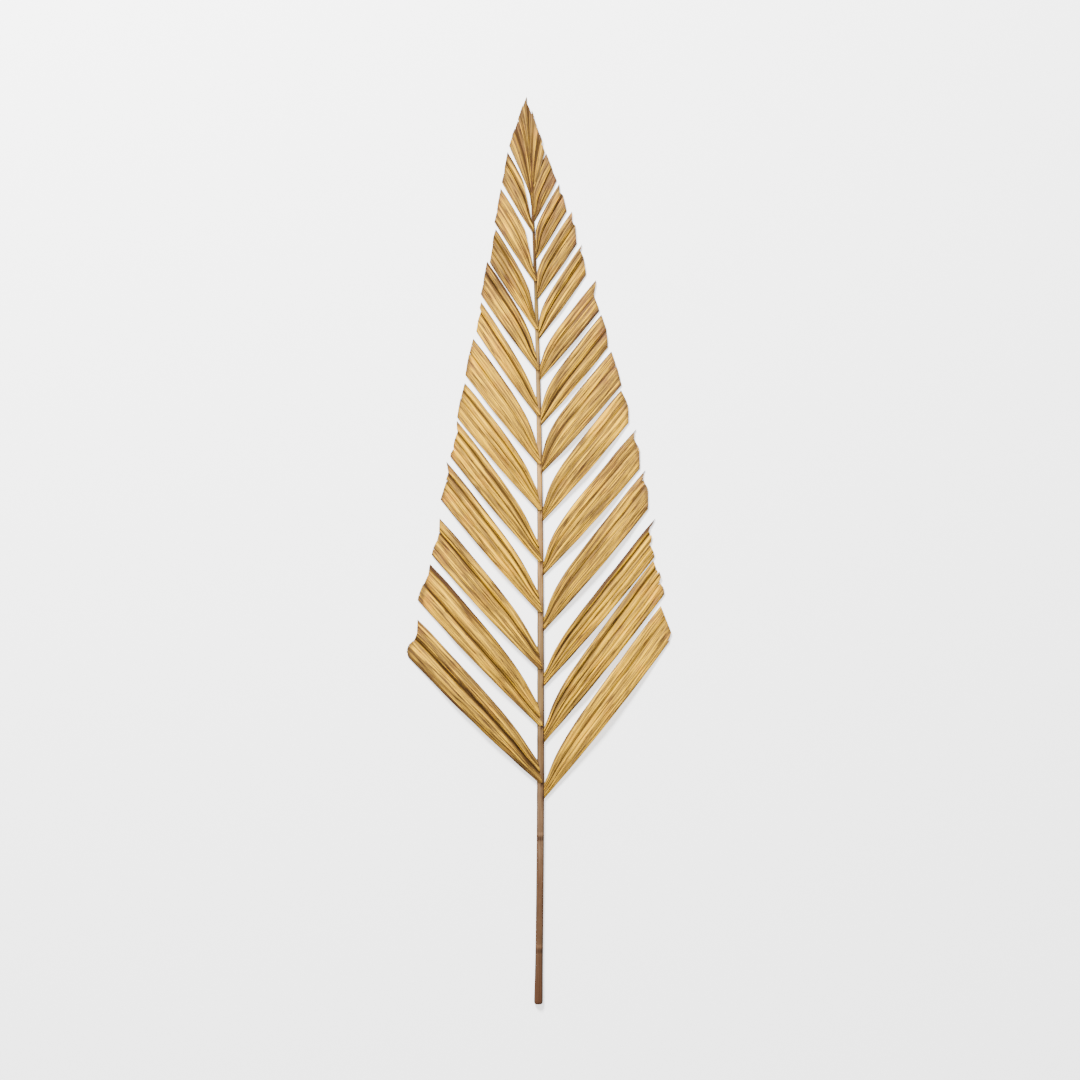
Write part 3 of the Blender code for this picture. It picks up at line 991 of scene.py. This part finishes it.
def make_fan():
    """The last blades, still joined: a strip that widens from a point and ends in two slanted cuts."""
    foot, direction, foot_half, left, right, tip = fan_axis()
    across = Vector((-direction.y, direction.x, 0))
    length = (tip - foot).length

    def place_of(corner):
        return (corner - foot).dot(direction), (corner - foot).dot(across)

    (left_x, left_y), (right_x, right_y) = place_of(left), place_of(right)
    start, end = -FAN_FOOT, length + FAN_MARGIN

    def limits(x):
        """The lower edge and the upper one, in a straight line from the foot through each corner."""
        edges = []
        for side, corner_x, corner_y in ((-1, right_x, right_y), (1, left_x, left_y)):
            gained = side * EDGE_GAIN
            widening = (corner_y - side * foot_half) * max(x, 0) / corner_x
            edges.append(side * foot_half + widening + gained)
        return edges

    width = limits(end)[1] - limits(end)[0]

    def shape(x):
        lower, upper = limits(x)
        share = min(max(x / length, 0), 1)
        deep = mix(FAN_START_DEPTH, FAN_DEPTH, smooth(1.3 * share)) / OPEN_DEPTH
        lift = mix(FAN_FOOT_LIFT, FAN_LIFT, share) + FAN_ARCH * math.sin(math.pi * share)
        return (upper - lower) / width, deep, lower, lift

    fan = cut_strip("terminal_blades", start, end, width, FAN_CREASES, 1)
    mark_strip(fan, width, FAN_CREASES, 1, FAN_DARK_SHARE * length)
    lay_strip_maps(fan, end - start, width, FAN_SEED)
    pleat_strip(fan, width, FAN_CREASES, 1)
    shape_strip(fan, start, end, shape)
    gather_to_middle(fan, start, end, limits)
    apply_modifier(fan, "SUBSURF", levels=FINE_LEVELS, render_levels=FINE_LEVELS)
    raise_ridges(fan)
    turn_to(fan, foot, direction)
    trim_fan(fan, -limits(length)[0] / width, left, right, tip)

    places = read_places(fan)
    distance = np.minimum(distance_to_line(places, right, tip), distance_to_line(places, tip, left))
    set_marks(fan, "trim", np.exp(-distance / FAN_TRIM_FADE))
    set_marks(fan, "dark_edge_band", np.zeros(len(places)))
    set_marks(fan, "brown", np.full(len(places), FAN_BROWN))
    add_wave(fan, "waves_fan", FAN_WAVE_SIZE, "Z", FAN_WAVE)
    apply_modifier(fan, "SOLIDIFY", thickness=BLADE_THICKNESS, offset=0)
    finish_piece(fan, BLADE, "terminal_fan")


make_fan()


# ---------------------------------------------------------------- the stem

STEM_SIDES = 16
# The bare part's stations: how far past the cut the first is, and the step between them
BARE_START = 17 * MM
BARE_STEP = 14 * MM
# The rod is drawn a little larger, because smoothing shrinks it
SMOOTHING_GAIN = 1.12
SLIMMEST = 2.8 * MM
FOOT_EXTRA = 1.0 * MM
# The cut foot's rounding: height above the cut, and share of the full width there
CUT_ROUNDING = ((0.0, 0.5), (0.35 * MM, 0.72), (1.1 * MM, 0.88), (2.2 * MM, 0.97), (4 * MM, 1.0))
# The swelling at a leaflet: distance past the leaflet's foot, and share of the full width
JOINT_ROWS = ((-5 * MM, 1.0), (2 * MM, 1.06), (9 * MM, 1.0))
CLOSEST_ROWS = 2 * MM

# The rod's round section, 1 in half width: its flat back, its crest, and the height they make
BACK_START = -0.6
BACK_LEVEL = -0.85
CREST_ABOVE = 0.95
CREST_RISE = 0.12
SECTION_HEIGHT = 1 - BACK_LEVEL + CREST_RISE
# The crest is sharp from this far before the first leaflet
CREST_START = 20 * MM
CREST_CREASE = 0.7

# The rib that runs on over the fan: distance past the fan's foot, and half width
FAN_RIB = (
    (4 * MM, 1.3 * MM), (14 * MM, 0.95 * MM), (24 * MM, 0.8 * MM), (34 * MM, 0.6 * MM),
    (46 * MM, 0.35 * MM),
)
# How far it stands above the blades near it, its bow to the right over its reach, and its thickness
RIB_ABOVE = 0.3 * MM
RIB_NEAR = 1.0 * MM
RIB_BOW = 1.4 * MM
RIB_REACH = 70 * MM
RIB_THICKNESS = 1.2 * MM

# Painted shadow beside each leaflet's foot: place from the stem's middle in shares of its width, a
# further shift along the stem, the spot's size, and its strength
RIGHT_SPOT = ((0.45, 0), 0, (1.6 * MM, 2.6 * MM), 1)
LEFT_SPOT = ((0.12, -0.62), 0, (1.6 * MM, 2.6 * MM), 1)
LEFT_SHADE = ((0.3, 0), 7 * MM, (2.2 * MM, 8 * MM), 0.55)


def leaflet_feet():
    """Where each leaflet meets the stem, from the cut end to the tip."""
    feet = []
    for side, natures in NATURES.items():
        for number in range(1, len(natures) + 1):
            feet.append(node_corners(f"leaflet_{side}_{number:02d}", 1 if side == "right" else -1)[0])
    return sorted(feet, key=lambda foot: foot.y)


def stem_stations(feet):
    """Places along the rod, each with its share of the full width: closer at the cut and the joints."""
    low, high = STEM_ROWS[0][0], STEM_ROWS[0][-1]
    stations = [(low - FOOT_EXTRA + rise, share) for rise, share in CUT_ROUNDING]
    y = low + BARE_START
    while y < feet[0].y - BARE_STEP:
        stations.append((y, 1.0))
        y += BARE_STEP
    for foot in feet:
        for offset, share in JOINT_ROWS:
            if foot.y + offset > stations[-1][0] + CLOSEST_ROWS:
                stations.append((foot.y + offset, share))
    return stations + [(high, 1.0)]


def stem_section(station):
    """Middle x, y, half width, height and how far its base is lifted, of the rod at a station."""
    y, share = station
    x, width, height = stem_at(y)
    half_width = max(width * SMOOTHING_GAIN, SLIMMEST) / 2
    return x, y, half_width * share, height * share, max(height * (1 - share) / 2, 0)


def rib_sections():
    """The same for the rib, which lies on the fan and bows to the right."""
    foot, direction = fan_axis()[:2]
    blades = read_places(bpy.data.objects["terminal_blades"])
    sections = []
    for past, half_width in FAN_RIB:
        point = foot + direction * past
        point.x += RIB_BOW * math.sin(math.pi * past / RIB_REACH)
        near = np.hypot(blades[:, 0] - point.x, blades[:, 1] - point.y) < RIB_NEAR
        top = float(blades[near, 2].max()) + RIB_ABOVE
        sections.append((point.x, point.y, half_width, RIB_THICKNESS, top - RIB_THICKNESS))
    return sections


def sharpen_crest(stem, start):
    """Sharpens the crest along the top of the leafy part."""
    top = {}
    for vertex in bmesh.from_edit_mesh(stem.data).verts:
        key = round(vertex.co.y, 5)
        top[key] = max(top.get(key, 0), vertex.co.z)
    pick_vertices(stem, lambda co: co.y > start and co.z > top[round(co.y, 5)] - 0.01 * MM)
    bpy.ops.transform.edge_crease(value=CREST_CREASE)


def mark_stem(stem, feet):
    """Stores which flank a place is on, and how near the painted shadows beside the leaflets' feet it is.
    """
    points = read_places(stem)
    middles = np.interp(points[:, 1], STEM_ROWS[0], STEM_ROWS[1])
    widths = np.interp(points[:, 1], STEM_ROWS[0], STEM_ROWS[2])
    set_marks(stem, "flank", np.clip((points[:, 0] - middles) / widths + 0.5, 0, 1))
    near = np.zeros(len(points))
    for foot in feet:
        x, width, _height = stem_at(foot.y)
        spots = (LEFT_SPOT, LEFT_SHADE) if foot.x < x else (RIGHT_SPOT,)
        for (aside, along), shift, size, strength in spots:
            spot = (x + aside * width, foot.y + along * width + shift)
            away = (points[:, :2] - np.array(spot)) / size
            near = np.maximum(near, strength * np.exp(-(away**2).sum(axis=1)))
    set_marks(stem, "foot_shadow", near)


def make_stem():
    """A rod with a flat back, drawn out from its cut foot section by section and on over the fan."""
    feet = leaflet_feet()
    first, *sections = [stem_section(station) for station in stem_stations(feet)]
    deselect_all()
    bpy.ops.mesh.primitive_circle_add(vertices=STEM_SIDES, radius=1, fill_type="NGON")
    stem = bpy.context.object
    stem.name = "stem_rod"
    stem.data.name = "stem_rod"
    start_edit(stem)
    bpy.ops.mesh.select_all(action="SELECT")
    bpy.ops.transform.rotate(value=math.radians(90), orient_axis="X", center_override=(0, 0, 0))
    pick_vertices(stem, lambda co: co.z < BACK_START)
    bpy.ops.transform.resize(value=(1, 1, 0), center_override=(0, 0, BACK_LEVEL))
    pick_vertices(stem, lambda co: co.z > CREST_ABOVE)
    bpy.ops.transform.translate(value=(0, 0, CREST_RISE))
    bpy.ops.mesh.select_all(action="SELECT")
    bpy.ops.transform.translate(value=(0, 0, -BACK_LEVEL))
    x, y, wide, tall, base = first
    bpy.ops.transform.resize(value=(wide, 1, tall / SECTION_HEIGHT), center_override=(0, 0, 0))
    bpy.ops.transform.translate(value=(x, y, base))
    at = first
    for section in sections + rib_sections():
        x, y, wide, tall, base = section
        step = (x - at[0], y - at[1], base - at[4])
        bpy.ops.mesh.extrude_region_move(TRANSFORM_OT_translate={"value": step})
        bpy.ops.transform.resize(value=(wide / at[2], 1, tall / at[3]), center_override=(x, y, base))
        at = section
    bpy.ops.mesh.select_all(action="SELECT")
    bpy.ops.mesh.normals_make_consistent(inside=False)
    sharpen_crest(stem, feet[0].y - CREST_START)
    end_edit()
    apply_modifier(stem, "SUBSURF", levels=2, render_levels=2)
    mark_stem(stem, feet)
    finish_piece(stem, STEM, "stem")


make_stem()


# ---------------------------------------------------------------- the floor and the light

# Sizes and places in metres
FLOOR_SIZE = 16
FLOOR_WHITE = (0.93, 0.93, 0.93, 1)
FLOOR_GLOW = 1.5
WHITE = (1, 1, 1, 1)
WINDOW_PLACE = (-0.9, 2.2, 1.9)
WINDOW_SIZE = 0.9
WINDOW_POWER = 420
SKY_STRENGTH = 0.62


def make_floor():
    deselect_all()
    bpy.ops.mesh.primitive_plane_add(size=FLOOR_SIZE, location=(0, 0, 0))
    floor = bpy.context.object
    floor.name = "pale_floor"
    material, _tree, shader = new_material("pale_floor")
    shader.inputs["Base Color"].default_value = FLOOR_WHITE
    shader.inputs["Roughness"].default_value = 0.9
    shader.inputs["Emission Color"].default_value = WHITE
    shader.inputs["Emission Strength"].default_value = FLOOR_GLOW
    floor.data.materials.append(material)


def make_window():
    """A large soft light from the upper left."""
    data = bpy.data.lights.new("window", "AREA")
    data.shape = "SQUARE"
    data.size = WINDOW_SIZE
    data.energy = WINDOW_POWER
    light = bpy.data.objects.new("window", data)
    light.location = WINDOW_PLACE
    light.rotation_euler = (-Vector(WINDOW_PLACE)).to_track_quat("-Z", "Y").to_euler()
    bpy.context.scene.collection.objects.link(light)


def make_sky():
    world = bpy.data.worlds.new("studio")
    world.use_nodes = True
    background = world.node_tree.nodes["Background"]
    background.inputs["Color"].default_value = WHITE
    background.inputs["Strength"].default_value = SKY_STRENGTH
    bpy.context.scene.world = world


make_floor()
make_window()
make_sky()
